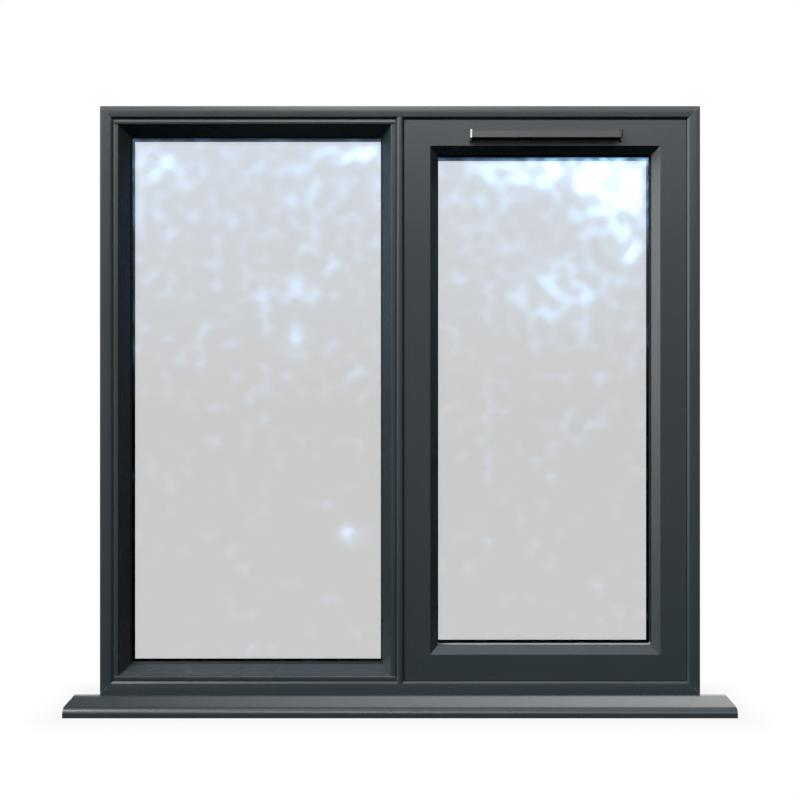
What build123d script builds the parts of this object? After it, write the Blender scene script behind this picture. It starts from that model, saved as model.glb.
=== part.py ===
from build123d import *
import os

# Aluminium casement window: a fixed light on the left and an opening sash on the right, on a
# projecting sill. X runs to the right, Y into the building and Z up. Y = 0 is the foremost line
# of the frame's face and Z = 0 the flat underside of the sill. Lengths are in millimetres.

os.makedirs("parts", exist_ok=True)

# Whole window
frame_width = 1200
frame_height = 1176
frame_depth = 75
wall = 2  # aluminium wall of the frame and sash profiles
edge_round = 0.8  # softened outside edge of a profile
mitre_gap = 0.1  # half of the hairline between two mitred ends
seat_gap = 0.1  # play between a part and the seat that it is fitted into

# Outer frame profile, measured inwards from the frame's outside edge
crown_width = 21
crown_fall = 3  # how far the outside edge of the crowned face stands back
frame_chamfer = 4
outer_shell_depth = 28
break_depth = 24
inner_leg_width = 36
strip_thickness = 2
strip_inset = 3
strip_spread = 15

# Mullion
nose_half = 4.6
nose_fall = 1.2
nose_chamfer = 2.9
mullion_strip_offset = 3.5

# Adaptor surround that holds the glass of the fixed light
surround_gap = 1
lip_width = 1
lip_front = 3
trim_seat = 8  # depth of the channel floor under the trim
bevel_start = 10
bevel_front = 5
bevel_width = 17
adaptor_width = 9.5
trim_clearance = 0.4
trim_front = 2.6
trim_fall = 2.2
trim_floor_gap = 0.1

# Opening sash profile
sash_gap = 1.5
sash_front = 6
sash_face_width = 51.5
sash_bevel = 14.4
sash_inner_front = 46
sash_inner_start = 12
sash_inner_width = 39
flange_start = 4
flange_thickness = 3
sash_strip_inset = 14
sash_strip_spread = 33
seal_start = 4.6
seal_width = 4.4

# Sealed glazing units
pane_thickness = 4
cavity = 20
outer_gasket_depth = 3
inner_gasket_depth = 3
surround_gasket_lip = 3.5
sash_gasket_lip = 2.6
gasket_width = 9
glass_cover = 15  # how far the glass runs in behind the visible edge
spacer_cover = 10
spacer_wall = 0.8
arris = 0.5

# Glazing beads on the room side
bead_setback = 5  # the bead's edge stands back from the outside sightline
bead_wall = 1.4
bead_slope = 4

# Sill
sill_height = 24
sill_projection = 75
sill_horn = 50
sill_slope_fall = 5.6
sill_nose_round = 6
sill_sheet = 2
sill_return = 14
sill_leg_setback = 12
sill_cap_thickness = 2.5

# Ventilator canopy outside and its controller inside
canopy_length = 303
canopy_height = 15
canopy_projection = 14
canopy_sheet = 1.6
canopy_lip = 4.5
canopy_drop = 24  # from the top of the sash to the top of the canopy
canopy_cap_thickness = 2.6
canopy_cap_leg_width = 5
canopy_cap_leg_drop = 3.6
slot_count = 2
slot_length = 130
slot_height = 8
slot_margin = 16  # sheet left between neighbouring slots
outlet_height = 6
controller_length = 320
controller_height = 24
controller_projection = 13
controller_round = 4
controller_wall = 1.8
flap_height = 13
flap_thickness = 2
flap_lip = 3

# Handle on the sash stile next to the mullion
handle_height = 612
base_width = 27
base_length = 68
base_thickness = 11
boss_radius = 8.5
boss_length = 8
lever_width = 19
lever_length = 118
lever_standoff = 30
lever_thickness = 11
tip_thickness = 8
handle_round = 2.5

# Levels that follow from the sizes above
inner_front = outer_shell_depth + break_depth
outer_leg_width = crown_width + frame_chamfer
frame_half = frame_width / 2
frame_base = sill_height
frame_top = sill_height + frame_height
mullion_half = nose_half + nose_chamfer
mullion_inner_half = mullion_half + inner_leg_width - outer_leg_width
light_base = frame_base + outer_leg_width
light_top = frame_top - outer_leg_width
light_edge = frame_half - outer_leg_width

glass_front = outer_shell_depth + outer_gasket_depth
spacer_front = glass_front + pane_thickness
inner_pane_front = spacer_front + cavity
glass_back = inner_pane_front + pane_thickness
bead_front = glass_back + inner_gasket_depth

surround_edge = bevel_start + bevel_width
surround_sightline = surround_edge + surround_gasket_lip
surround_bead_start = inner_leg_width - outer_leg_width - surround_gap
sash_shell_edge = sash_face_width + sash_bevel
sash_sightline = sash_shell_edge + sash_gasket_lip
sash_bead_start = sash_inner_start + sash_inner_width

inwards = Vector(0, 1, 0)


class Side:
    # One side of an upright rectangle: its section plane has local X towards the middle of the
    # rectangle and local Y into the building, so one section serves all four sides.
    def __init__(self, corner, towards_middle, length):
        along = towards_middle.cross(inwards)
        self.length = length
        self.plane = Plane(origin=corner, x_dir=towards_middle, z_dir=along)
        start = Plane(origin=corner, z_dir=along - towards_middle)
        end = Plane(origin=corner + along * length, z_dir=-along - towards_middle)
        self.mitres = [start.offset(mitre_gap), end.offset(mitre_gap)]


def four_sides(x_low, x_high, z_low, z_high, inset, names):
    left, right = x_low + inset, x_high - inset
    base, top = z_low + inset, z_high - inset
    left_name, top_name, right_name, base_name = names
    return {
        left_name: Side(Vector(left, 0, base), Vector(1, 0, 0), top - base),
        top_name: Side(Vector(left, 0, top), Vector(0, 0, -1), right - left),
        right_name: Side(Vector(right, 0, top), Vector(-1, 0, 0), top - base),
        base_name: Side(Vector(right, 0, base), Vector(0, 0, 1), right - left),
    }


def mitre_ends(side):
    for mitre in side.mitres:
        split(bisect_by=mitre, keep=Keep.TOP)


def mitred_bar(section, side):
    with BuildPart() as bar:
        extrude(section, amount=side.length)
        mitre_ends(side)
    return bar.part


def save(piece, label):
    piece.part.label = label
    export_step(piece.part, f"parts/{label}.step")


def box_section(plane, x_low, x_high, y_low, y_high):
    with BuildSketch(plane) as section:
        with Locations(((x_low + x_high) / 2, (y_low + y_high) / 2)):
            Rectangle(x_high - x_low, y_high - y_low)
    return section.sketch


def hollow_box_section(plane, x_low, x_high, y_low, y_high, thickness):
    with BuildSketch(plane) as section:
        with Locations(((x_low + x_high) / 2, (y_low + y_high) / 2)):
            Rectangle(x_high - x_low, y_high - y_low)
            Rectangle(x_high - x_low - 2 * thickness, y_high - y_low - 2 * thickness, mode=Mode.SUBTRACT)
    return section.sketch


def frame_outline(plane):
    # The crowned face, the chamfer towards the light and the square back of the outer shell.
    with BuildSketch(plane) as outline:
        with BuildLine():
            TangentArc((crown_width, 0), (0, crown_fall), tangent=(-1, 0))
            Polyline(
                (0, crown_fall),
                (0, outer_shell_depth),
                (outer_leg_width, outer_shell_depth),
                (outer_leg_width, frame_chamfer),
                (crown_width, 0),
            )
        make_face()
    return outline.sketch


def frame_shell_section(plane):
    with BuildSketch(plane) as section:
        add(plane.to_local_coords(frame_outline(plane)))
        offset(amount=-wall, kind=Kind.INTERSECTION, mode=Mode.SUBTRACT)
    return section.sketch


# Outer frame: a shell outside and one inside, joined by insulating strips
frame_sides = four_sides(
    -frame_half,
    frame_half,
    frame_base,
    frame_top,
    0,
    ("left_jamb", "head", "right_jamb", "bottom"),
)
for name, side in frame_sides.items():
    with BuildPart() as frame_member:
        extrude(frame_shell_section(side.plane), amount=side.length)
        extrude(
            hollow_box_section(side.plane, 0, inner_leg_width, inner_front, frame_depth, wall),
            amount=side.length,
        )
        mitre_ends(side)
    save(frame_member, f"frame_{name}")

# Mullion: its outer leg is scribed over the chamfers of the head and the bottom member
with BuildPart() as mullion:
    with BuildSketch(Plane.XY.offset(frame_base + crown_width)) as nose:
        with BuildLine():
            ThreePointArc((-nose_half, nose_fall), (0, 0), (nose_half, nose_fall))
            Polyline(
                (nose_half, nose_fall),
                (mullion_half, nose_fall + nose_chamfer),
                (mullion_half, outer_shell_depth),
                (-mullion_half, outer_shell_depth),
                (-mullion_half, nose_fall + nose_chamfer),
                (-nose_half, nose_fall),
            )
        make_face()
        offset(amount=-wall, kind=Kind.INTERSECTION, mode=Mode.SUBTRACT)
    extrude(amount=frame_height - 2 * crown_width)
    for name in ("head", "bottom"):
        side = frame_sides[name]
        extrude(frame_outline(side.plane), amount=side.length, mode=Mode.SUBTRACT)
    inner_leg_plane = Plane.XY.offset(frame_base + inner_leg_width)
    extrude(
        hollow_box_section(
            inner_leg_plane, -mullion_inner_half, mullion_inner_half, inner_front, frame_depth, wall
        ),
        amount=frame_height - 2 * inner_leg_width,
    )
save(mullion, "mullion")

# Insulating strips of the frame and the mullion
strip_bars = []
for side in frame_sides.values():
    for start in (strip_inset, strip_inset + strip_spread):
        section = box_section(side.plane, start, start + strip_thickness, outer_shell_depth, inner_front)
        strip_bars.append(mitred_bar(section, side))
with BuildPart() as frame_strips:
    add(strip_bars)
    for centre in (-mullion_strip_offset, mullion_strip_offset):
        section = box_section(
            Plane.XY.offset(light_base),
            centre - strip_thickness / 2,
            centre + strip_thickness / 2,
            outer_shell_depth,
            inner_front,
        )
        extrude(section, amount=light_top - light_base)
save(frame_strips, "frame_thermal_breaks")


def surround_section(plane):
    # A hollow bevelled profile with an upstand at each edge of the channel for the trim.
    slope = bevel_width / (outer_shell_depth - bevel_front)
    seat_edge = bevel_start + slope * (trim_seat - bevel_front)
    with BuildSketch(plane) as section:
        with BuildLine():
            Polyline(
                (0, trim_seat),
                (seat_edge, trim_seat),
                (surround_edge, outer_shell_depth),
                (0, outer_shell_depth),
                close=True,
            )
        make_face()
        offset(amount=-wall, kind=Kind.INTERSECTION, mode=Mode.SUBTRACT)
        with BuildLine():
            Polyline((bevel_start, trim_seat), (bevel_start, bevel_front), (seat_edge, trim_seat), close=True)
        make_face()
        with Locations((lip_width / 2, (lip_front + trim_seat) / 2)):
            Rectangle(lip_width, trim_seat - lip_front)
    return section.sketch


# Surround of the fixed light and the insulating adaptor behind it
surround_sides = four_sides(
    -light_edge,
    -mullion_half,
    light_base,
    light_top,
    surround_gap,
    ("left", "top", "right", "bottom"),
)
for name, side in surround_sides.items():
    with BuildPart() as surround:
        extrude(surround_section(side.plane), amount=side.length)
        mitre_ends(side)
    save(surround, f"surround_{name}")

adaptor_bars = [
    mitred_bar(
        hollow_box_section(side.plane, 0, adaptor_width, outer_shell_depth, inner_front, wall), side
    )
    for side in surround_sides.values()
]
with BuildPart() as surround_adaptor:
    add(adaptor_bars)
save(surround_adaptor, "surround_thermal_breaks")


def trim_section(plane):
    low = lip_width + trim_clearance
    high = bevel_start - trim_clearance
    floor = trim_seat - trim_floor_gap
    with BuildSketch(plane) as section:
        with BuildLine():
            ThreePointArc(
                (low, trim_front + trim_fall / 2),
                ((low * 2 + high) / 3, trim_front),
                (high, trim_front + trim_fall),
            )
            Polyline(
                (high, trim_front + trim_fall),
                (high, floor),
                (low, floor),
                (low, trim_front + trim_fall / 2),
            )
        make_face()
    return section.sketch


# Trim strips in the channel of the surround: the top and bottom ones run through
trim_inset = lip_width + trim_clearance
for name, side in surround_sides.items():
    runs_through = name in ("top", "bottom")
    cut_back = trim_inset if runs_through else bevel_start
    with BuildPart() as trim:
        extrude(trim_section(side.plane.offset(cut_back)), amount=side.length - 2 * cut_back)
    save(trim, f"trim_{name}")


def sash_outer_section(plane):
    with BuildSketch(plane) as section:
        with BuildLine():
            Polyline(
                (0, sash_front),
                (sash_face_width, sash_front),
                (sash_shell_edge, sash_front + sash_bevel),
                (sash_shell_edge, outer_shell_depth),
                (0, outer_shell_depth),
                close=True,
            )
        make_face()
        fillet(section.vertices().group_by(Axis.Y)[0], radius=edge_round)
        offset(amount=-wall, kind=Kind.INTERSECTION, mode=Mode.SUBTRACT)
    return section.sketch


def sash_inner_section(plane):
    # A hollow chamber with a flange that closes on the seal of the frame.
    with BuildSketch(plane) as section:
        with BuildLine():
            Polyline(
                (flange_start, sash_inner_front),
                (sash_bead_start, sash_inner_front),
                (sash_bead_start, frame_depth),
                (sash_inner_start, frame_depth),
                (sash_inner_start, sash_inner_front + flange_thickness),
                (flange_start, sash_inner_front + flange_thickness),
                close=True,
            )
        make_face()
        with Locations(((sash_inner_start + sash_bead_start) / 2, (sash_inner_front + frame_depth) / 2)):
            Rectangle(
                sash_inner_width - 2 * wall,
                frame_depth - sash_inner_front - 2 * wall,
                mode=Mode.SUBTRACT,
            )
    return section.sketch


# Opening sash; slots for the ventilator go through the walls of its top rail
sash_sides = four_sides(
    mullion_half,
    light_edge,
    light_base,
    light_top,
    sash_gap,
    ("left_stile", "top_rail", "right_stile", "bottom_rail"),
)
sash_top = light_top - sash_gap
sash_centre = (mullion_half + light_edge) / 2
canopy_top = sash_top - canopy_drop
canopy_base = canopy_top - canopy_height
slot_level = canopy_base + canopy_height / 2
slot_pitch = slot_length + slot_margin


def slot_row():
    with BuildSketch(Plane(origin=(sash_centre, 0, slot_level), x_dir=(1, 0, 0), z_dir=inwards)) as slots:
        with GridLocations(slot_pitch, 0, slot_count, 1):
            SlotOverall(slot_length, slot_height)
    return slots.sketch


for name, side in sash_sides.items():
    with BuildPart() as sash_member:
        extrude(sash_outer_section(side.plane), amount=side.length)
        extrude(sash_inner_section(side.plane), amount=side.length)
        mitre_ends(side)
        if name == "top_rail":
            extrude(slot_row(), amount=frame_depth, mode=Mode.SUBTRACT)
    save(sash_member, f"sash_{name}")

sash_strip_bars = []
for side in sash_sides.values():
    for start in (sash_strip_inset, sash_strip_inset + sash_strip_spread):
        section = box_section(
            side.plane, start, start + strip_thickness, outer_shell_depth, sash_inner_front
        )
        sash_strip_bars.append(mitred_bar(section, side))
with BuildPart() as sash_strips:
    add(sash_strip_bars)
save(sash_strips, "sash_thermal_breaks")


def seal_section(plane):
    # A bulb on the frame's inner leg; the sash flange closes against its crown.
    middle = seal_start + seal_width / 2
    crown = sash_inner_front + flange_thickness + seat_gap
    shoulder = (crown + inner_front) / 2
    with BuildSketch(plane) as section:
        with BuildLine():
            ThreePointArc((seal_start, shoulder), (middle, crown), (seal_start + seal_width, shoulder))
            Polyline(
                (seal_start + seal_width, shoulder),
                (seal_start + seal_width, inner_front),
                (seal_start, inner_front),
                (seal_start, shoulder),
            )
        make_face()
    return section.sketch


seal_bars = [mitred_bar(seal_section(side.plane), side) for side in sash_sides.values()]
with BuildPart() as sash_seal:
    add(seal_bars)
save(sash_seal, "sash_seal")


def outer_gasket_section(plane, shell_edge, sightline):
    with BuildSketch(plane) as section:
        with BuildLine():
            Polyline(
                (sightline - gasket_width, outer_shell_depth),
                (shell_edge, outer_shell_depth),
                (sightline, glass_front - outer_gasket_depth / 3),
                (sightline, glass_front),
                (sightline - gasket_width, glass_front),
                close=True,
            )
        make_face()
    return section.sketch


def inner_gasket_section(plane, bead_edge):
    return box_section(plane, bead_edge - gasket_width, bead_edge, glass_back, bead_front)


def bead_section(plane, bead_start, bead_edge):
    with BuildSketch(plane) as section:
        with BuildLine():
            Polyline(
                (bead_start, bead_front),
                (bead_edge, bead_front),
                (bead_edge, bead_front + bead_slope),
                (bead_edge - bead_slope, frame_depth),
                (bead_start, frame_depth),
                close=True,
            )
        make_face()
        fillet(section.vertices().group_by(Axis.X)[-2], radius=edge_round)
        offset(amount=-bead_wall, kind=Kind.INTERSECTION, mode=Mode.SUBTRACT)
    return section.sketch


def save_ring(bars, label):
    with BuildPart() as ring:
        add(bars)
    save(ring, label)


def save_pane(sides, sightline, depth, label):
    # A glass pane whose edges run in behind the sightline, with ground arrises.
    names = list(sides)
    first, opposite = sides[names[0]], sides[names[2]]
    edge = sightline - glass_cover
    corner = first.plane.origin
    far_corner = opposite.plane.origin
    width = far_corner.X - corner.X - 2 * edge
    height = far_corner.Z - corner.Z - 2 * edge
    middle = (corner + far_corner) * 0.5 + inwards * depth
    with BuildPart() as pane:
        with BuildSketch(Plane(origin=middle, x_dir=(1, 0, 0), z_dir=inwards)):
            Rectangle(width, height)
        extrude(amount=pane_thickness)
        chamfer(pane.edges().filter_by(Axis.Y, reverse=True), length=arris)
    save(pane, label)


# Glazing of each light: two panes with a spacer between them, gaskets and beads
for light, sides, shell_edge, sightline, bead_start in (
    ("fixed", surround_sides, surround_edge, surround_sightline, surround_bead_start),
    ("sash", sash_sides, sash_shell_edge, sash_sightline, sash_bead_start),
):
    bead_edge = sightline - bead_setback
    outer_gaskets = []
    inner_gaskets = []
    spacers = []
    beads = []
    for side in sides.values():
        spacer = hollow_box_section(
            side.plane, sightline - spacer_cover, sightline, spacer_front, inner_pane_front, spacer_wall
        )
        spacers.append(mitred_bar(spacer, side))
        outer_gaskets.append(mitred_bar(outer_gasket_section(side.plane, shell_edge, sightline), side))
        inner_gaskets.append(mitred_bar(inner_gasket_section(side.plane, bead_edge), side))
        beads.append(mitred_bar(bead_section(side.plane, bead_start, bead_edge), side))
    save_pane(sides, sightline, glass_front, f"{light}_outer_pane")
    save_pane(sides, sightline, inner_pane_front, f"{light}_inner_pane")
    save_ring(spacers, f"{light}_spacer")
    save_ring(outer_gaskets, f"{light}_outer_gasket")
    save_ring(inner_gaskets, f"{light}_inner_gasket")
    save_ring(beads, f"{light}_beads")


# Sill: a sloping top with a rounded nose and return, and a closed box under the frame
def upper_nose_corner(outline):
    return outline.vertices().group_by(Axis.X)[0].sort_by(Axis.Y)[-1]


def sill_outline(plane):
    with BuildSketch(plane) as outline:
        with BuildLine():
            Polyline(
                (frame_depth, 0),
                (frame_depth, sill_height),
                (0, sill_height),
                (-sill_projection, sill_height - sill_slope_fall),
                (-sill_projection, 0),
                close=True,
            )
        make_face()
        fillet(upper_nose_corner(outline), radius=sill_nose_round)
    return outline.sketch


sill_half = frame_half + sill_horn
with BuildPart() as sill:
    sill_plane = Plane.YZ.offset(-sill_half + sill_cap_thickness)
    with BuildSketch(sill_plane) as sill_section:
        add(sill_plane.to_local_coords(sill_outline(sill_plane)))
        offset(amount=-sill_sheet, kind=Kind.INTERSECTION, mode=Mode.SUBTRACT)
        channel_front = -sill_projection + sill_return
        with Locations(((channel_front - sill_leg_setback) / 2, sill_sheet / 2)):
            Rectangle(-sill_leg_setback - channel_front, sill_sheet, mode=Mode.SUBTRACT)
        leg_height = sill_height - sill_slope_fall * sill_leg_setback / sill_projection - sill_sheet / 2
        with Locations((-sill_leg_setback + sill_sheet / 2, leg_height / 2)):
            Rectangle(sill_sheet, leg_height)
    extrude(amount=2 * (sill_half - sill_cap_thickness))
    for direction in (-1, 1):
        with BuildSketch(Plane.XY) as notch:
            with Locations((direction * (frame_half + sill_horn / 2), frame_depth / 2)):
                Rectangle(sill_horn, frame_depth)
        extrude(amount=sill_height, mode=Mode.SUBTRACT)
save(sill, "sill")

for name, start in (("left", -sill_half), ("right", sill_half - sill_cap_thickness)):
    cap_plane = Plane.YZ.offset(start)
    with BuildPart() as sill_cap:
        with BuildSketch(cap_plane) as cap_outline:
            add(cap_plane.to_local_coords(sill_outline(cap_plane)))
            with Locations((frame_depth / 2, sill_height / 2)):
                Rectangle(frame_depth, sill_height, mode=Mode.SUBTRACT)
        extrude(amount=sill_cap_thickness)
    save(sill_cap, f"sill_end_cap_{name}")


# Ventilator canopy: a curved hood, open below, with slots in its back plate
def hood_outline(plane):
    back = sash_front
    front = sash_front - canopy_projection
    with BuildSketch(plane) as outline:
        with BuildLine():
            ThreePointArc(
                (back, canopy_top),
                ((back + 2 * front) / 3, (canopy_top + canopy_base + canopy_lip + 2) / 2),
                (front, canopy_base + canopy_lip),
            )
            Polyline(
                (front, canopy_base + canopy_lip),
                (front, canopy_base),
                (back, canopy_base),
                (back, canopy_top),
            )
        make_face()
    return outline.sketch


canopy_left = sash_centre - canopy_length / 2
with BuildPart() as canopy:
    hood_plane = Plane.YZ.offset(canopy_left + canopy_cap_thickness)
    with BuildSketch(hood_plane) as hood:
        add(hood_plane.to_local_coords(hood_outline(hood_plane)))
        offset(amount=-canopy_sheet, kind=Kind.INTERSECTION, mode=Mode.SUBTRACT)
        mouth_middle = sash_front - canopy_projection / 2
        with Locations((mouth_middle, canopy_base + canopy_sheet / 2)):
            Rectangle(canopy_projection - 2 * canopy_sheet, canopy_sheet, mode=Mode.SUBTRACT)
    extrude(amount=canopy_length - 2 * canopy_cap_thickness)
    extrude(slot_row(), amount=sash_front, mode=Mode.SUBTRACT)
save(canopy, "vent_canopy")

canopy_right = canopy_left + canopy_length
for name, start in (("left", canopy_left), ("right", canopy_right - canopy_cap_thickness)):
    cap_plane = Plane.YZ.offset(start)
    with BuildPart() as canopy_cap:
        with BuildSketch(cap_plane) as cap_outline:
            add(cap_plane.to_local_coords(hood_outline(cap_plane)))
            with Locations((sash_front - canopy_cap_leg_width / 2, canopy_base - canopy_cap_leg_drop / 2)):
                Rectangle(canopy_cap_leg_width, canopy_cap_leg_drop)
        extrude(amount=canopy_cap_thickness)
    save(canopy_cap, f"vent_cap_{name}")

# Controller of the ventilator on the room side, with a hinged flap over its mouth
controller_back = frame_depth
controller_front = frame_depth + controller_projection
controller_top = slot_level + controller_height / 2
controller_plane = Plane.YZ.offset(sash_centre - controller_length / 2)
with BuildPart() as controller:
    with BuildSketch(controller_plane) as controller_section:
        with Locations(((controller_back + controller_front) / 2, slot_level)):
            Rectangle(controller_projection, controller_height)
        fillet(controller_section.vertices().group_by(Axis.X)[-1], radius=controller_round)
    extrude(amount=controller_length)
    with BuildSketch(controller_plane.offset(controller_wall)) as chamber:
        with Locations(((controller_back + controller_front) / 2 - controller_wall / 2, slot_level)):
            Rectangle(controller_projection - controller_wall, controller_height - 2 * controller_wall)
        fillet(chamber.vertices().group_by(Axis.X)[-1], radius=controller_round - controller_wall)
    extrude(amount=controller_length - 2 * controller_wall, mode=Mode.SUBTRACT)
    with BuildSketch(Plane(origin=(sash_centre, 0, controller_top), x_dir=(1, 0, 0), z_dir=(0, 0, -1))) as outlets:
        with Locations((0, -(controller_back + controller_projection / 2))):
            with GridLocations(slot_pitch, 0, slot_count, 1):
                SlotOverall(slot_length, outlet_height)
    extrude(amount=controller_wall, mode=Mode.SUBTRACT)
save(controller, "vent_controller")

with BuildPart() as flap:
    flap_plane = Plane.YZ.offset(sash_centre - controller_length / 2 + controller_round)
    with BuildSketch(flap_plane) as flap_section:
        with Locations((controller_front + flap_thickness / 2, slot_level)):
            Rectangle(flap_thickness, flap_height)
        with Locations((controller_front + flap_thickness + flap_lip / 2, slot_level - flap_height / 2 + 1)):
            Rectangle(flap_lip, 2)
        fillet(flap_section.vertices().group_by(Axis.X)[-1], radius=edge_round)
    extrude(amount=controller_length - 2 * controller_round)
save(flap, "vent_flap")

# Handle: a rounded base plate with a boss, and a cranked lever that hangs down the stile
handle_x = mullion_half + sash_gap + sash_inner_start + sash_inner_width / 2
with BuildPart() as handle_base:
    base_plane = Plane(origin=(handle_x, frame_depth, handle_height), x_dir=(1, 0, 0), z_dir=inwards)
    with BuildSketch(base_plane):
        RectangleRounded(base_width, base_length, base_width / 2 - edge_round)
    extrude(amount=base_thickness)
    fillet(handle_base.faces().sort_by(Axis.Y)[-1].edges(), radius=handle_round)
    with BuildSketch(base_plane.offset(base_thickness)):
        Circle(boss_radius)
    extrude(amount=boss_length)
save(handle_base, "handle_base")

lever_root = frame_depth + base_thickness + boss_length + seat_gap
lever_inner = frame_depth + lever_standoff
lever_outer = lever_inner + lever_thickness
lever_top = handle_height + lever_width / 2
lever_tip = lever_top - lever_length
with BuildPart() as handle_lever:
    with BuildSketch(Plane.YZ.offset(handle_x - lever_width / 2)) as lever_side:
        with BuildLine():
            Polyline(
                (lever_root, lever_top),
                (lever_outer, lever_top),
                (lever_outer, handle_height - lever_width),
                (lever_inner + tip_thickness, lever_tip),
                (lever_inner, lever_tip),
                (lever_inner, handle_height - lever_width),
                (lever_root, handle_height - lever_width / 2),
                close=True,
            )
        make_face()
        fillet(lever_side.vertices().group_by(Axis.Y)[-1].sort_by(Axis.X)[-1], radius=lever_thickness)
    extrude(amount=lever_width)
    fillet(handle_lever.faces().filter_by(Axis.X).edges(), radius=handle_round)
save(handle_lever, "handle_lever")
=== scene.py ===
import math

import bmesh
import bpy
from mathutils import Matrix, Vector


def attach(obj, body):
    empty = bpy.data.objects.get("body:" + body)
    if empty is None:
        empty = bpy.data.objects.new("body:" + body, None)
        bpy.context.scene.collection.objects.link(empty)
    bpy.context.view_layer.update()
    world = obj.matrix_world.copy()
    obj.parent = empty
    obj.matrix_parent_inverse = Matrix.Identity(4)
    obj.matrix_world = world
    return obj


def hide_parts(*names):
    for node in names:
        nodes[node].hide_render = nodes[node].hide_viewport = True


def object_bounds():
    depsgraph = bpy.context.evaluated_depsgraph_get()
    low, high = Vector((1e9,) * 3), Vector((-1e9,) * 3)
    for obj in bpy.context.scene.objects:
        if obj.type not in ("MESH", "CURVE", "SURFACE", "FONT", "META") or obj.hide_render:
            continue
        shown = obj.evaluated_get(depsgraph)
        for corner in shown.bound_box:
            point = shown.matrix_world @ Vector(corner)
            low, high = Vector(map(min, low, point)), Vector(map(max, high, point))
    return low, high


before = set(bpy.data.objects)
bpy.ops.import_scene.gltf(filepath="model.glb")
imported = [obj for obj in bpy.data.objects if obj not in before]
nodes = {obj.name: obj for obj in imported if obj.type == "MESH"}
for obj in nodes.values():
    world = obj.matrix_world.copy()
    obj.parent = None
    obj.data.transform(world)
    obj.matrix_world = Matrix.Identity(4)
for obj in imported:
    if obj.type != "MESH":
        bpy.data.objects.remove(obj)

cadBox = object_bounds()
print("frame loaded:", len(nodes), "nodes")


# small helpers for shader trees

class Tree:
    # one material or world tree; each call adds a node and wires what it is given
    def __init__(self, owner):
        owner.use_nodes = True
        self.tree = owner.node_tree
        self.tree.nodes.clear()

    def node(self, kind, inputs=None, **settings):
        made = self.tree.nodes.new(kind)
        for key, value in settings.items():
            setattr(made, key, value)
        for key, value in (inputs or {}).items():
            if isinstance(value, bpy.types.NodeSocket):
                self.tree.links.new(value, made.inputs[key])
            else:
                made.inputs[key].default_value = value
        return made

    def math(self, operation, first, second=0.0):
        made = self.node("ShaderNodeMath", {0: first, 1: second}, operation=operation)
        return made.outputs[0]

    def noise(self, vector, scale, detail=2.0, roughness=0.5):
        made = self.node("ShaderNodeTexNoise",
                         {"Vector": vector, "Scale": scale, "Detail": detail, "Roughness": roughness})
        return made.outputs["Fac"]

    def stretched(self, vector, scale):
        return self.node("ShaderNodeMapping", {"Vector": vector, "Scale": scale}).outputs["Vector"]

    def mixColour(self, factor, first, second, blend="MIX"):
        made = self.node("ShaderNodeMix", data_type="RGBA", blend_type=blend)
        for place, value in ((0, factor), (6, first), (7, second)):
            if isinstance(value, bpy.types.NodeSocket):
                self.tree.links.new(value, made.inputs[place])
            else:
                made.inputs[place].default_value = value
        return made.outputs[2]

    def span(self, value, fromLow, fromHigh, toLow, toHigh):
        made = self.node("ShaderNodeMapRange", {0: value, 1: fromLow, 2: fromHigh, 3: toLow, 4: toHigh})
        return made.outputs[0]

    def bump(self, height, strength, distance):
        made = self.node("ShaderNodeBump", {"Height": height, "Strength": strength, "Distance": distance})
        return made.outputs["Normal"]


# powder-coated aluminium: fine orange peel, faint die lines along the extrusion

coat = {
    "colour": (0.0064, 0.0107, 0.0128),
    "paleColour": (0.0072, 0.0120, 0.0143),
    "roughness": 0.27,
    "roughnessSpread": 0.02,
    "peelScale": 950.0,
    "peelHeight": 0.00004,
    "dieLineHeight": 0.00002,
    "dieLineScale": 260.0,  # across the profile
    "dieLineStretch": 3.0,  # along the profile
    "cloudScale": 7.0,
    "cloudShare": 0.7,
}


def coatMaterial(name, along, settings=coat):
    material = bpy.data.materials.new(name)
    tree = Tree(material)
    place = tree.node("ShaderNodeTexCoord").outputs["Object"]
    stretch = [settings["dieLineScale"]] * 3
    stretch["xyz".index(along)] = settings["dieLineStretch"]
    dieLines = tree.noise(tree.stretched(place, stretch), 1.0, 3.0, 0.6)
    peel = tree.noise(place, settings["peelScale"], 1.0)
    cloud = tree.noise(place, settings["cloudScale"], 3.0)
    tone = tree.math("ADD", tree.math("MULTIPLY", cloud, settings["cloudShare"]),
                     tree.math("MULTIPLY", dieLines, 1.0 - settings["cloudShare"]))
    colour = tree.mixColour(tone, (*settings["colour"], 1.0), (*settings["paleColour"], 1.0))
    low = settings["roughness"] - settings["roughnessSpread"]
    high = settings["roughness"] + settings["roughnessSpread"]
    roughness = tree.span(tone, 0.25, 0.75, low, high)
    height = tree.math("ADD", tree.math("MULTIPLY", peel, settings["peelHeight"]),
                       tree.math("MULTIPLY", dieLines, settings["dieLineHeight"]))
    normal = tree.bump(height, 1.0, 1.0)
    shader = tree.node("ShaderNodeBsdfPrincipled",
                       {"Base Color": colour, "Roughness": roughness, "Normal": normal,
                        "Metallic": 0.0, "IOR": 1.5})
    tree.node("ShaderNodeOutputMaterial", {"Surface": shader.outputs[0]})
    return material


# moulded plastic, insulating strips, rubber, spacer bars, the lacquered handle and a satin metal cap

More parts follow.
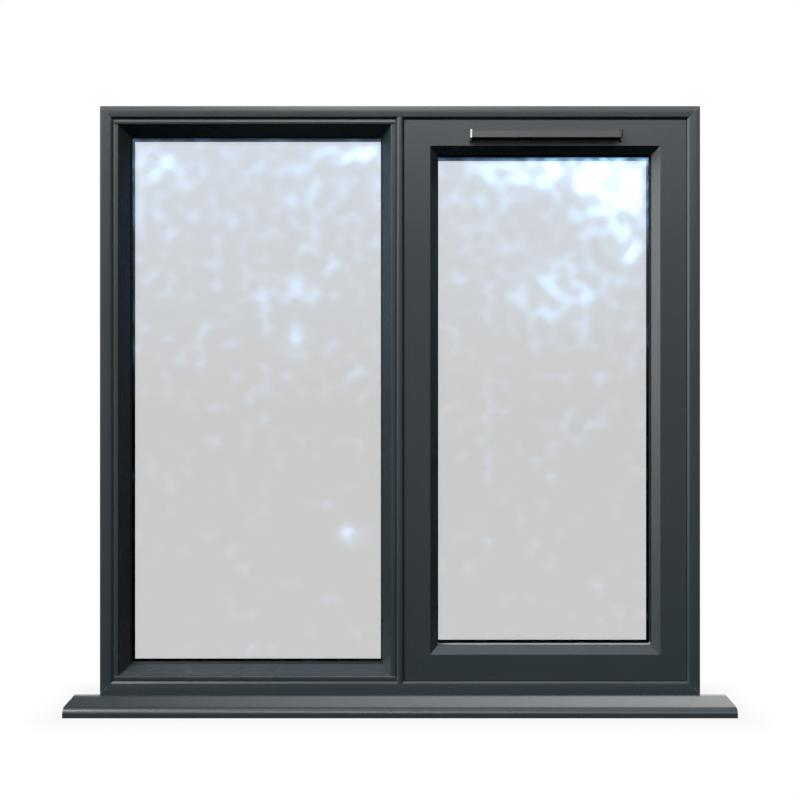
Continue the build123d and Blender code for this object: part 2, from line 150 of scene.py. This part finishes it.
mouldCloudScale, mouldRoughnessSpread = 12.0, 0.05
moulded = {"colour": (0.0065, 0.0095, 0.0110), "paleColour": (0.0080, 0.0110, 0.0125), "roughness": 0.42,
           "grainScale": 1800.0, "grainHeight": 0.00003}
strips = {"colour": (0.004, 0.004, 0.0045), "paleColour": (0.006, 0.006, 0.0065), "roughness": 0.6,
          "grainScale": 700.0, "grainHeight": 0.00005}
rubber = {"colour": (0.0020, 0.0020, 0.0022), "paleColour": (0.0030, 0.0030, 0.0033), "roughness": 0.55,
          "grainScale": 1200.0, "grainHeight": 0.00003, "ior": 1.21}
# the sash's outer gasket with a painted highlight: paler below a height, along its lower ledge
highlightRubber = {**rubber, "highlightHeight": 0.1215, "highlightColour": (0.095, 0.10, 0.105)}
spacer = {"colour": (0.0005, 0.0005, 0.0006), "paleColour": (0.0008, 0.0008, 0.0009), "roughness": 0.75,
          "grainScale": 500.0, "grainHeight": 0.00003, "ior": 1.04}
lacquer = {"colour": (0.0055, 0.0085, 0.0100), "paleColour": (0.0065, 0.0095, 0.0110), "roughness": 0.26,
           "grainScale": 300.0, "grainHeight": 0.00001}
capMetal = {"colour": (0.30, 0.305, 0.31), "paleColour": (0.34, 0.345, 0.35), "roughness": 0.30,
            "grainScale": 900.0, "grainHeight": 0.00001, "metallic": 1.0}


def mouldedMaterial(name, settings):
    material = bpy.data.materials.new(name)
    tree = Tree(material)
    place = tree.node("ShaderNodeTexCoord").outputs["Object"]
    cloud = tree.noise(place, mouldCloudScale, 4.0)
    grain = tree.noise(place, settings["grainScale"], 2.0)
    colour = tree.mixColour(cloud, (*settings["colour"], 1.0), (*settings["paleColour"], 1.0))
    if "highlightHeight" in settings:  # a painted highlight: the gasket is paler below this height, along its lower ledge
        height = tree.node("ShaderNodeSeparateXYZ", {0: place}).outputs[2]
        highlightBand = tree.math("LESS_THAN", height, settings["highlightHeight"])
        colour = tree.mixColour(highlightBand, colour, (*settings["highlightColour"], 1.0))
    roughness = tree.span(cloud, 0.3, 0.7, settings["roughness"] - mouldRoughnessSpread,
                          settings["roughness"] + mouldRoughnessSpread)
    normal = tree.bump(tree.math("MULTIPLY", grain, settings["grainHeight"]), 1.0, 1.0)
    shader = tree.node("ShaderNodeBsdfPrincipled",
                       {"Base Color": colour, "Roughness": roughness, "Normal": normal,
                        "IOR": settings.get("ior", 1.5), "Metallic": settings.get("metallic", 0.0)})
    tree.node("ShaderNodeOutputMaterial", {"Surface": shader.outputs[0]})
    return material


# float glass, greyed a little by its coating

glass = {"colour": (0.838, 0.838, 0.838), "ior": 1.52}


def glassMaterial(name, settings=glass):
    material = bpy.data.materials.new(name)
    tree = Tree(material)
    shader = tree.node("ShaderNodeBsdfPrincipled",
                       {"Base Color": (*settings["colour"], 1.0), "Roughness": 0.0,
                        "IOR": settings["ior"], "Transmission Weight": 1.0})
    tree.node("ShaderNodeOutputMaterial", {"Surface": shader.outputs[0]})
    return material


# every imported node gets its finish; profiles get die lines along their own length

coatAcross = coatMaterial("coatAcross", "x")
coatUpright = coatMaterial("coatUpright", "z")
finishes = {
    coatAcross: ["frame_head", "frame_bottom", "surround_top", "surround_bottom", "trim_top", "trim_bottom",
                 "sash_top_rail", "sash_bottom_rail", "fixed_beads", "sash_beads", "sill",
                 "sill_end_cap_left", "sill_end_cap_right", "vent_canopy"],
    coatUpright: ["frame_left_jamb", "frame_right_jamb", "mullion", "surround_left", "surround_right",
                  "trim_left", "trim_right", "sash_left_stile", "sash_right_stile"],
    mouldedMaterial("mouldedPlastic", moulded): ["vent_cap_left", "vent_cap_right", "vent_controller",
                                                 "vent_flap"],
    mouldedMaterial("insulatingStrip", strips): ["frame_thermal_breaks", "surround_thermal_breaks",
                                                 "sash_thermal_breaks"],
    mouldedMaterial("gasketRubber", rubber): ["fixed_outer_gasket", "fixed_inner_gasket",
                                              "sash_inner_gasket", "sash_seal"],
    mouldedMaterial("highlightRubber", highlightRubber): ["sash_outer_gasket"],
    mouldedMaterial("spacerBar", spacer): ["fixed_spacer", "sash_spacer"],
    glassMaterial("floatGlass"): ["fixed_outer_pane", "fixed_inner_pane", "sash_outer_pane",
                                  "sash_inner_pane"],
    mouldedMaterial("handleLacquer", lacquer): ["handle_base", "handle_lever"],
}


# hood of the ventilator with an upright front, open below, and its two caps

ventHood = {
    "left": 0.1437, "right": 0.4402, "back": 0.006, "front": -0.008, "base": 1.1352, "top": 1.1496,
    "rise": 0.0025, "sheet": 0.0016, "edge": 0.0008, "lean": 0.0005,
    "slots": ((0.1545, 0.2815), (0.3005, 0.4275)), "slotLow": 1.1378, "slotHigh": 1.1462,
    "capWidth": 0.0042, "capCorner": 0.0035, "capSteps": 8, "capRise": 0.8,
    "legDepth": 0.009, "legBase": 1.1304, "legOverlap": 0.0004,
}


def prism(outline, low, high, axis):
    # vertices and faces of an outline, given in the two other directions, drawn out along one axis
    def place(first, second, along):
        return {"x": (along, first, second), "z": (first, second, along)}[axis]
    count = len(outline)
    vertices = [place(*point, end) for end in (low, high) for point in outline]
    faces = [tuple(range(count)), tuple(range(2 * count - 1, count - 1, -1))]
    faces += [(i, count + i, count + (i + 1) % count, (i + 1) % count) for i in range(count)]
    return vertices, faces


def newPiece(name, solids, material, edge=0.0):
    mesh = bpy.data.meshes.new(name)
    vertices, faces = [], []
    for points, sides in solids:
        faces += [tuple(len(vertices) + i for i in side) for side in sides]
        vertices += points
    mesh.from_pydata(vertices, [], faces)
    built = bmesh.new()
    built.from_mesh(mesh)
    bmesh.ops.recalc_face_normals(built, faces=built.faces)
    built.to_mesh(mesh)
    built.free()
    piece = bpy.data.objects.new(name, mesh)
    bpy.context.scene.collection.objects.link(piece)
    mesh.materials.append(material)
    if edge:
        bevel = piece.modifiers.new("softEdges", "BEVEL")
        bevel.width = edge
        bevel.segments = 3
        bevel.limit_method = "ANGLE"
        bevel.harden_normals = True
    return piece


def buildHood():
    hood = ventHood
    left, right, slots, sheet = hood["left"], hood["right"], hood["slots"], hood["sheet"]
    back, front, base, top, rise = hood["back"], hood["front"], hood["base"], hood["top"], hood["rise"]
    topFront = front + hood["lean"]
    shell = [(front, base), (topFront, top), (back, top + rise), (back, top + rise - sheet),
             (topFront + sheet, top - sheet), (front + sheet, base)]
    walls = [prism(shell, left, right, "x")]
    ends = [left, *(x for slot in slots for x in slot), right]
    plate = [(back - sheet, base), (back - sheet, top), (back, top), (back, base)]
    for low, high in zip(ends[0::2], ends[1::2]):
        walls.append(prism(plate, low, high, "x"))
    for low, high in slots:
        for bottom, edge in ((base, hood["slotLow"]), (hood["slotHigh"], top)):
            walls.append(prism([(back - sheet, bottom), (back - sheet, edge), (back, edge), (back, bottom)],
                               low, high, "x"))
    canopy = newPiece("ventHood", walls, coatAcross, hood["edge"])
    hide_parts("vent_canopy")
    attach(canopy, "root")
    for side, inner, name in ((-1, left, "vent_cap_left"), (1, right, "vent_cap_right")):
        outer = inner + side * hood["capWidth"]
        corner = hood["capCorner"]
        plan = [(inner, front)]
        for step in range(hood["capSteps"] + 1):
            angle = math.radians(90.0 * step / hood["capSteps"])
            plan.append((outer - side * corner * (1 - math.sin(angle)),
                         front + corner * (1 - math.cos(angle))))
        plan += [(outer, back), (inner, back)]
        body = prism(plan, base, top + rise * hood["capRise"], "z")
        legFront = back - hood["legDepth"]
        leg = prism([(inner, legFront), (outer, legFront), (outer, back), (inner, back)],
                    hood["legBase"], base + hood["legOverlap"], "z")
        cap = newPiece("hoodCap" + ("Left" if side < 0 else "Right"), [body, leg], coatAcross)
        if side < 0:  # the left cap's rounded corner shows bare satin metal
            cap.data.materials.append(capMaterial)
            for polygon in cap.data.polygons:
                if polygon.center.z > base and abs(polygon.normal.z) < 0.5:
                    polygon.material_index = 1
        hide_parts(name)
        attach(cap, "root")


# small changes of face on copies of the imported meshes, whose other faces stay as they are: the arched
# crown of the frame, the broad nose of the sill, flat trims, a narrow gap round the sash, the sightlines

faceForms = {
    "crownWidth": 0.021, "crownFall": 0.00062, "oldCrownFall": 0.00305, "frameHalf": 0.600,
    "frameTop": 1.200, "frameBase": 0.024, "slack": 0.0002,
    "noseFront": -0.075, "slopeTop": 0.024, "slope": 5.6 / 75.0, "noseRound": 0.006, "broadRound": 0.012,
    "noseReach": (0.003, 0.0066), "noseSlack": 0.0006,
    "trimFront": 0.0026, "trimBack": 0.00485, "trimFlatness": 0.35,
    "sashOutset": 0.0011, "sashEdge": 0.0012, "sashFrontDepth": 0.0075,
    "weldDistance": 0.000005, "softAngle": 22.0, "flatWeight": 100,
    # lowest and highest point of each edge that is moved, and how far it rises
    "sightLines": {"fixed_outer_gasket": [(0.0789, 0.0811, 0.0012)],
                   "fixed_spacer": [(0.0789, 0.0811, 0.0012), (1.1428, 1.1446, -0.0015)],
                   "sash_spacer": [(0.1176, 0.1196, 0.0014), (1.1043, 1.1061, -0.0022)]},
}


def crownPlace(place, name):
    width, slack = faceForms["crownWidth"], faceForms["slack"]
    half = faceForms["frameHalf"]
    inward = {"frame_head": faceForms["frameTop"] - place.z, "frame_bottom": place.z - faceForms["frameBase"],
              "frame_left_jamb": place.x + half, "frame_right_jamb": half - place.x}[name]
    if place.y < faceForms["oldCrownFall"] and -slack < inward < width + slack:
        place.y = faceForms["crownFall"] * (2.0 * inward / width - 1.0) ** 2


def nosePlace(place, name):
    slope = faceForms["slope"]
    steep = math.sqrt(1.0 + slope ** 2)

    def centre(size):
        y = faceForms["noseFront"] + size
        return y, faceForms["slopeTop"] + slope * y - size * steep
    oldY, oldZ = centre(faceForms["noseRound"])
    newY, newZ = centre(faceForms["broadRound"])
    offY, offZ = place.y - oldY, place.z - oldZ
    reach = math.hypot(offY, offZ)
    nearest, farthest = faceForms["noseReach"]
    if offY < faceForms["noseSlack"] and offZ > -faceForms["slack"] and nearest < reach < farthest:
        grown = (reach + faceForms["broadRound"] - faceForms["noseRound"]) / reach
        place.y, place.z = newY + offY * grown, newZ + offZ * grown


def trimPlace(place, name):
    front = faceForms["trimFront"]
    if front < place.y < faceForms["trimBack"]:
        place.y = front + faceForms["trimFlatness"] * (place.y - front)


def sightPlace(place, name):
    for low, high, rise in faceForms["sightLines"][name]:
        if low < place.z < high:
            place.z += rise
            break


sashNames = ("sash_top_rail", "sash_bottom_rail", "sash_left_stile", "sash_right_stile")
sashFront = [vertex.co for name in sashNames for vertex in nodes[name].data.vertices
             if vertex.co.y < faceForms["sashFrontDepth"]]
sashReach = [(min(co[axis] for co in sashFront), max(co[axis] for co in sashFront)) for axis in (0, 2)]


def sashPlace(place, name):
    edge, outset = faceForms["sashEdge"], faceForms["sashOutset"]
    if place.y > faceForms["sashFrontDepth"]:
        return
    for axis, (low, high) in zip((0, 2), sashReach):
        if place[axis] < low + edge:
            place[axis] -= outset
        elif place[axis] > high - edge:
            place[axis] += outset


def reformed(name, move):
    mesh = bpy.data.meshes.new(name + "Face")
    built = bmesh.new()
    built.from_mesh(nodes[name].data)
    bmesh.ops.remove_doubles(built, verts=built.verts, dist=faceForms["weldDistance"])
    for vertex in built.verts:
        move(vertex.co, name)
    bmesh.ops.recalc_face_normals(built, faces=built.faces)
    for face in built.faces:
        face.smooth = True
    softAngle = math.radians(faceForms["softAngle"])
    for edge in built.edges:
        edge.smooth = len(edge.link_faces) == 2 and edge.calc_face_angle() < softAngle
    built.to_mesh(mesh)
    built.free()
    if "custom_normal" in mesh.attributes:
        mesh.attributes.remove(mesh.attributes["custom_normal"])
    piece = bpy.data.objects.new(name + "Face", mesh)
    bpy.context.scene.collection.objects.link(piece)
    mesh.materials.clear()
    mesh.materials.append(nodes[name].data.materials[0])
    weighted = piece.modifiers.new("flatFaces", "WEIGHTED_NORMAL")
    weighted.keep_sharp = True
    weighted.weight = faceForms["flatWeight"]
    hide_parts(name)
    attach(piece, "root")


def buildFaces():
    moves = {
        crownPlace: ["frame_head", "frame_bottom", "frame_left_jamb", "frame_right_jamb"],
        nosePlace: ["sill", "sill_end_cap_left", "sill_end_cap_right"],
        trimPlace: ["trim_top", "trim_bottom", "trim_left", "trim_right"],
        sashPlace: sashNames,
        sightPlace: faceForms["sightLines"],
    }
    for move, names in moves.items():
        for name in names:
            reformed(name, move)


for material, names in finishes.items():
    for name in names:
        nodes[name].data.materials.clear()
        nodes[name].data.materials.append(material)
capMaterial = mouldedMaterial("satinMetal", capMetal)
buildHood()
buildFaces()
print("finishes set:", sum(len(names) for names in finishes.values()), "nodes")


# the studio: white behind the window, broad soft lights above and to the left, dark below

studio = {
    "floorDrop": 0.0005,
    "floorSize": 40.0,
    "contactShade": 0.92,
    "contactReach": 0.08,
    "frontLevel": 0.56,
    "frontLow": -0.34,
    "frontHigh": -0.12,
    "frontTurn": (0.15, -0.35),  # from none to full as a ray turns from sideways to the front
    # each soft light: degrees to the right of the middle of the front, degrees up, half width, strength
    "lights": {
        "keyLight": (-49.0, 42.0, 7.0, 112.0),
        "overheadMiddle": (-3.0, 28.0, 5.5, 15.0),
        "overheadRight": (16.0, 23.0, 8.0, 3.3),
        "overheadLeft": (-35.0, 22.0, 7.5, 5.0),
        "farLeft": (-52.0, 21.0, 12.0, 2.2),
        "leftWall": (-77.0, 10.0, 11.5, 5.2),
        "ceiling": (0.0, 80.0, 26.0, 1.6),
    },
    "backLevel": 0.55,
    "backTurn": (0.25, 0.60),
    "backRise": (-0.5, 0.1, 0.15, 1.0),  # dimmer low down
    "backLights": {
        "backRight": (152.0, 30.0, 12.0, 4.5),
        "backLeft": (-148.0, 36.0, 12.0, 6.0),
        "backAhead": (178.0, 24.0, 9.0, 4.0),
    },
    # a glow that only the top of the sill mirrors; it grows towards the right
    "sillGlow": {"halfWidth": 0.70, "low": 0.0265, "high": 0.30, "front": -0.0012,
                 "left": 0.12, "right": 2.02},
    # a dark card under the hood of the ventilator, which keeps its soft shadow
    "hoodShade": {"left": 0.1437, "right": 0.4402, "near": -0.0082, "far": -0.030, "height": 1.1352},
}

# what the glass mirrors: pale sky between leaves, brightest in a few gaps; places are tangents of the
# view across and up, then how wide, how high and how bright a gap is
sky = {
    "colour": (0.32, 0.62, 1.0),
    "veil": 1.3,
    "spotScale": 62.0,
    "clearingScale": 17.0,
    "spotShare": 0.6,
    "spots": 2.3,
    "spotCurve": (0.49, 0.80, 1.4),  # where spots begin, where they are full, and how steeply they grow
    "thinning": (-0.15, 0.27, -0.10, 0.07),  # fewer spots low down
    "ragged": (0.36, 0.66, 0.30, 1.30),
    "veilRise": (-0.01, 0.24),
    "gapEdge": 1.2,
    "gaps": {
        "upperRight": (0.220, 0.222, 0.036, 0.036, 20.0),
        "upperRow": (0.150, 0.234, 0.060, 0.018, 10.0),
        "rightEdge": (0.232, 0.155, 0.012, 0.020, 6.0),
        "middleHeap": (0.165, 0.110, 0.050, 0.034, 2.4),
        "leftCorner": (-0.245, 0.236, 0.030, 0.014, 4.0),
        "mullionCorner": (-0.040, 0.248, 0.034, 0.010, 6.0),
        "leafHole": (-0.102, 0.113, 0.026, 0.014, 1.8),
        "leafHoleLow": (-0.106, 0.058, 0.016, 0.014, 2.2),
        "lone": (-0.048, -0.136, 0.013, 0.009, 4.5),
    },
}


def buildFloor():
    half = studio["floorSize"] / 2
    mesh = bpy.data.meshes.new("floor")
    mesh.from_pydata([(-half, -half, 0), (half, -half, 0), (half, half, 0), (-half, half, 0)], [],
                     [(0, 1, 2, 3)])
    floor = bpy.data.objects.new("floor", mesh)
    bpy.context.scene.collection.objects.link(floor)
    floor.location.z = cadBox[0][2] - studio["floorDrop"]
    material = bpy.data.materials.new("paleFloor")
    tree = Tree(material)
    place = tree.node("ShaderNodeTexCoord").outputs["Object"]
    split = tree.node("ShaderNodeSeparateXYZ", {0: place})
    sides = []
    for axis in (0, 1):
        middle = (cadBox[0][axis] + cadBox[1][axis]) / 2
        halfWidth = (cadBox[1][axis] - cadBox[0][axis]) / 2
        offset = tree.math("ABSOLUTE", tree.math("SUBTRACT", split.outputs[axis], middle))
        sides.append(tree.math("MAXIMUM", tree.math("SUBTRACT", offset, halfWidth), 0.0))
    squares = [tree.math("MULTIPLY", side, side) for side in sides]
    away = tree.math("SQRT", tree.math("ADD", *squares))
    # a painted contact shadow: the glowing floor is darker close to the window
    shade = tree.span(away, 0.0, studio["contactReach"], studio["contactShade"], 1.0)
    shader = tree.node("ShaderNodeEmission", {"Strength": shade})
    tree.node("ShaderNodeOutputMaterial", {"Surface": shader.outputs[0]})
    mesh.materials.append(material)
    floor.visible_diffuse = False
    floor.visible_glossy = False
    floor.visible_transmission = False
    floor.visible_shadow = False
    return floor


def softLight(tree, direction, azimuth, elevation, halfWidth, strength):
    # a round light with soft edges, as bright as strength in its middle and half that at halfWidth
    azimuth, elevation = math.radians(azimuth), math.radians(elevation)
    towards = (math.sin(azimuth) * math.cos(elevation), -math.cos(azimuth) * math.cos(elevation),
               math.sin(elevation))
    sharpness = math.log(2.0) / (1.0 - math.cos(math.radians(halfWidth)))
    closeness = tree.node("ShaderNodeVectorMath", {0: direction, 1: towards}, operation="DOT_PRODUCT")
    fall = tree.math("MULTIPLY", tree.math("SUBTRACT", closeness.outputs["Value"], 1.0), sharpness)
    return tree.math("MULTIPLY", tree.math("EXPONENT", fall), strength)


def buildWorld():
    world = bpy.data.worlds.new("studio")
    bpy.context.scene.world = world
    tree = Tree(world)
    path = tree.node("ShaderNodeLightPath").outputs
    direction = tree.node("ShaderNodeTexCoord").outputs["Generated"]
    split = tree.node("ShaderNodeSeparateXYZ", {0: direction})
    across, inwards, upwards = split.outputs
    # what lights the window: a dim front, black below, and the soft lights
    level = tree.span(upwards, studio["frontLow"], studio["frontHigh"], 0.0, studio["frontLevel"])
    soft = tree.math("MULTIPLY", level, tree.span(inwards, *studio["frontTurn"], 0.0, 1.0))
    for place in studio["lights"].values():
        soft = tree.math("ADD", soft, softLight(tree, direction, *place))
    # a separate, even light for the room side; what the glass lets through to the front isn't lit by it
    sharp = path["Is Singular Ray"]
    behind = tree.span(inwards, *studio["backTurn"], 0.0, studio["backLevel"])
    behind = tree.math("MULTIPLY", behind, tree.span(upwards, *studio["backRise"]))
    for place in studio["backLights"].values():
        behind = tree.math("ADD", behind, softLight(tree, direction, *place))
    soft = tree.math("ADD", soft, tree.math("MULTIPLY", behind, tree.math("SUBTRACT", 1.0, sharp)))
    light = tree.node("ShaderNodeEmission", {"Color": (1.0, 1.0, 1.0, 1.0), "Strength": soft})
    # what the glass mirrors
    depth = tree.math("MAXIMUM", tree.math("MULTIPLY", inwards, -1.0), 0.05)  # never divides by nought
    right = tree.math("DIVIDE", across, depth)
    up = tree.math("DIVIDE", upwards, depth)
    flat = tree.node("ShaderNodeCombineXYZ", {0: right, 1: up}).outputs[0]
    spots = tree.noise(flat, sky["spotScale"], 0.0, 0.5)
    clearing = tree.noise(flat, sky["clearingScale"], 1.0, 0.5)
    openness = tree.math("ADD", tree.math("MULTIPLY", spots, sky["spotShare"]),
                         tree.math("MULTIPLY", clearing, 1.0 - sky["spotShare"]))
    openness = tree.math("ADD", openness, tree.span(up, *sky["thinning"]))
    begins, full, steepness = sky["spotCurve"]
    spotShape = tree.math("POWER", tree.span(openness, begins, full, 0.0, 1.0), steepness)
    patches = tree.math("MULTIPLY", spotShape, sky["spots"])
    ragged = tree.span(spots, *sky["ragged"])
    for gapRight, gapUp, width, height, strength in sky["gaps"].values():
        aside = tree.math("DIVIDE", tree.math("SUBTRACT", right, gapRight), width)
        above = tree.math("DIVIDE", tree.math("SUBTRACT", up, gapUp), height)
        far = tree.math("ADD", tree.math("MULTIPLY", aside, aside), tree.math("MULTIPLY", above, above))
        fade = tree.math("EXPONENT", tree.math("MULTIPLY", far, -sky["gapEdge"]))
        gap = tree.math("MULTIPLY", fade, strength)
        patches = tree.math("ADD", patches, tree.math("MULTIPLY", gap, ragged))
    veil = tree.span(up, *sky["veilRise"], 0.0, sky["veil"])
    mirrored = tree.node("ShaderNodeEmission",
                         {"Color": (*sky["colour"], 1.0), "Strength": tree.math("ADD", patches, veil)})
    white = tree.node("ShaderNodeEmission", {"Color": (1.0, 1.0, 1.0, 1.0), "Strength": 1.0})
    # white where the eye looks straight past or through the glass, the sky where the glass mirrors it
    bounces = tree.math("ADD", path["Glossy Depth"], path["Diffuse Depth"])
    inFront = tree.math("LESS_THAN", inwards, 0.0)
    unbroken = tree.math("LESS_THAN", bounces, 0.5)
    straight = tree.math("MULTIPLY", sharp, unbroken)
    direct = tree.math("MAXIMUM", path["Is Camera Ray"], straight)
    glossOnly = tree.math("MULTIPLY", tree.math("LESS_THAN", path["Diffuse Depth"], 0.5),
                          tree.math("GREATER_THAN", path["Glossy Depth"], 0.5))
    mirror = tree.math("MULTIPLY", sharp, tree.math("MULTIPLY", glossOnly, inFront))
    ambient = tree.node("ShaderNodeMixShader", {0: mirror, 1: light.outputs[0], 2: mirrored.outputs[0]})
    shown = tree.node("ShaderNodeMixShader", {0: direct, 1: ambient.outputs[0], 2: white.outputs[0]})
    tree.node("ShaderNodeOutputWorld", {"Surface": shown.outputs[0]})


def buildSillGlow():
    glow = studio["sillGlow"]
    half, front = glow["halfWidth"], glow["front"]
    corners = [(-half, front, glow["low"]), (half, front, glow["low"]), (half, front, glow["high"]),
               (-half, front, glow["high"])]
    mesh = bpy.data.meshes.new("sillGlow")
    mesh.from_pydata(corners, [], [(0, 1, 2, 3)])
    card = bpy.data.objects.new("sillGlow", mesh)
    bpy.context.scene.collection.objects.link(card)
    material = bpy.data.materials.new("sillGlow")
    tree = Tree(material)
    place = tree.node("ShaderNodeTexCoord").outputs["Object"]
    across = tree.node("ShaderNodeSeparateXYZ", {0: place}).outputs[0]
    strength = tree.span(across, -half, half, glow["left"], glow["right"])
    lit = tree.node("ShaderNodeEmission", {"Strength": strength})
    clear = tree.node("ShaderNodeBsdfTransparent")
    behind = tree.node("ShaderNodeNewGeometry").outputs["Backfacing"]
    shader = tree.node("ShaderNodeMixShader", {0: behind, 1: lit.outputs[0], 2: clear.outputs[0]})
    tree.node("ShaderNodeOutputMaterial", {"Surface": shader.outputs[0]})
    mesh.materials.append(material)
    card.visible_camera = False
    card.visible_diffuse = False
    card.visible_transmission = False
    card.visible_shadow = False
    return card


def buildHoodShade():
    shade = studio["hoodShade"]
    mesh = bpy.data.meshes.new("hoodShade")
    near, far, height = shade["near"], shade["far"], shade["height"]
    mesh.from_pydata([(shade["left"], near, height), (shade["right"], near, height),
                      (shade["right"], far, height), (shade["left"], far, height)], [], [(0, 1, 2, 3)])
    card = bpy.data.objects.new("hoodShade", mesh)
    bpy.context.scene.collection.objects.link(card)
    material = bpy.data.materials.new("hoodShade")
    tree = Tree(material)
    black = tree.node("ShaderNodeBsdfDiffuse", {"Color": (0.0, 0.0, 0.0, 1.0)})
    tree.node("ShaderNodeOutputMaterial", {"Surface": black.outputs[0]})
    mesh.materials.append(material)
    card.visible_camera = False
    card.visible_transmission = False
    return card


buildFloor()
buildWorld()
buildSillGlow()
buildHoodShade()
print("studio built")


# the camera stands square to the window at about two metres

view = {"distance": 1.978, "height": 0.6123, "lens": 44.53, "sensor": 36.0}


def buildCamera():
    data = bpy.data.cameras.new("viewpoint")
    data.lens = view["lens"]
    data.sensor_width = view["sensor"]
    data.sensor_fit = "HORIZONTAL"
    data.clip_end = 100.0
    camera = bpy.data.objects.new("viewpoint", data)
    camera.location = (0.0, -view["distance"], view["height"])
    camera.rotation_euler = (math.radians(90.0), 0.0, 0.0)
    bpy.context.scene.collection.objects.link(camera)
    bpy.context.scene.camera = camera


buildCamera()
settings = bpy.context.scene.view_settings
settings.view_transform = "Standard"
settings.look = "None"
print("camera placed")
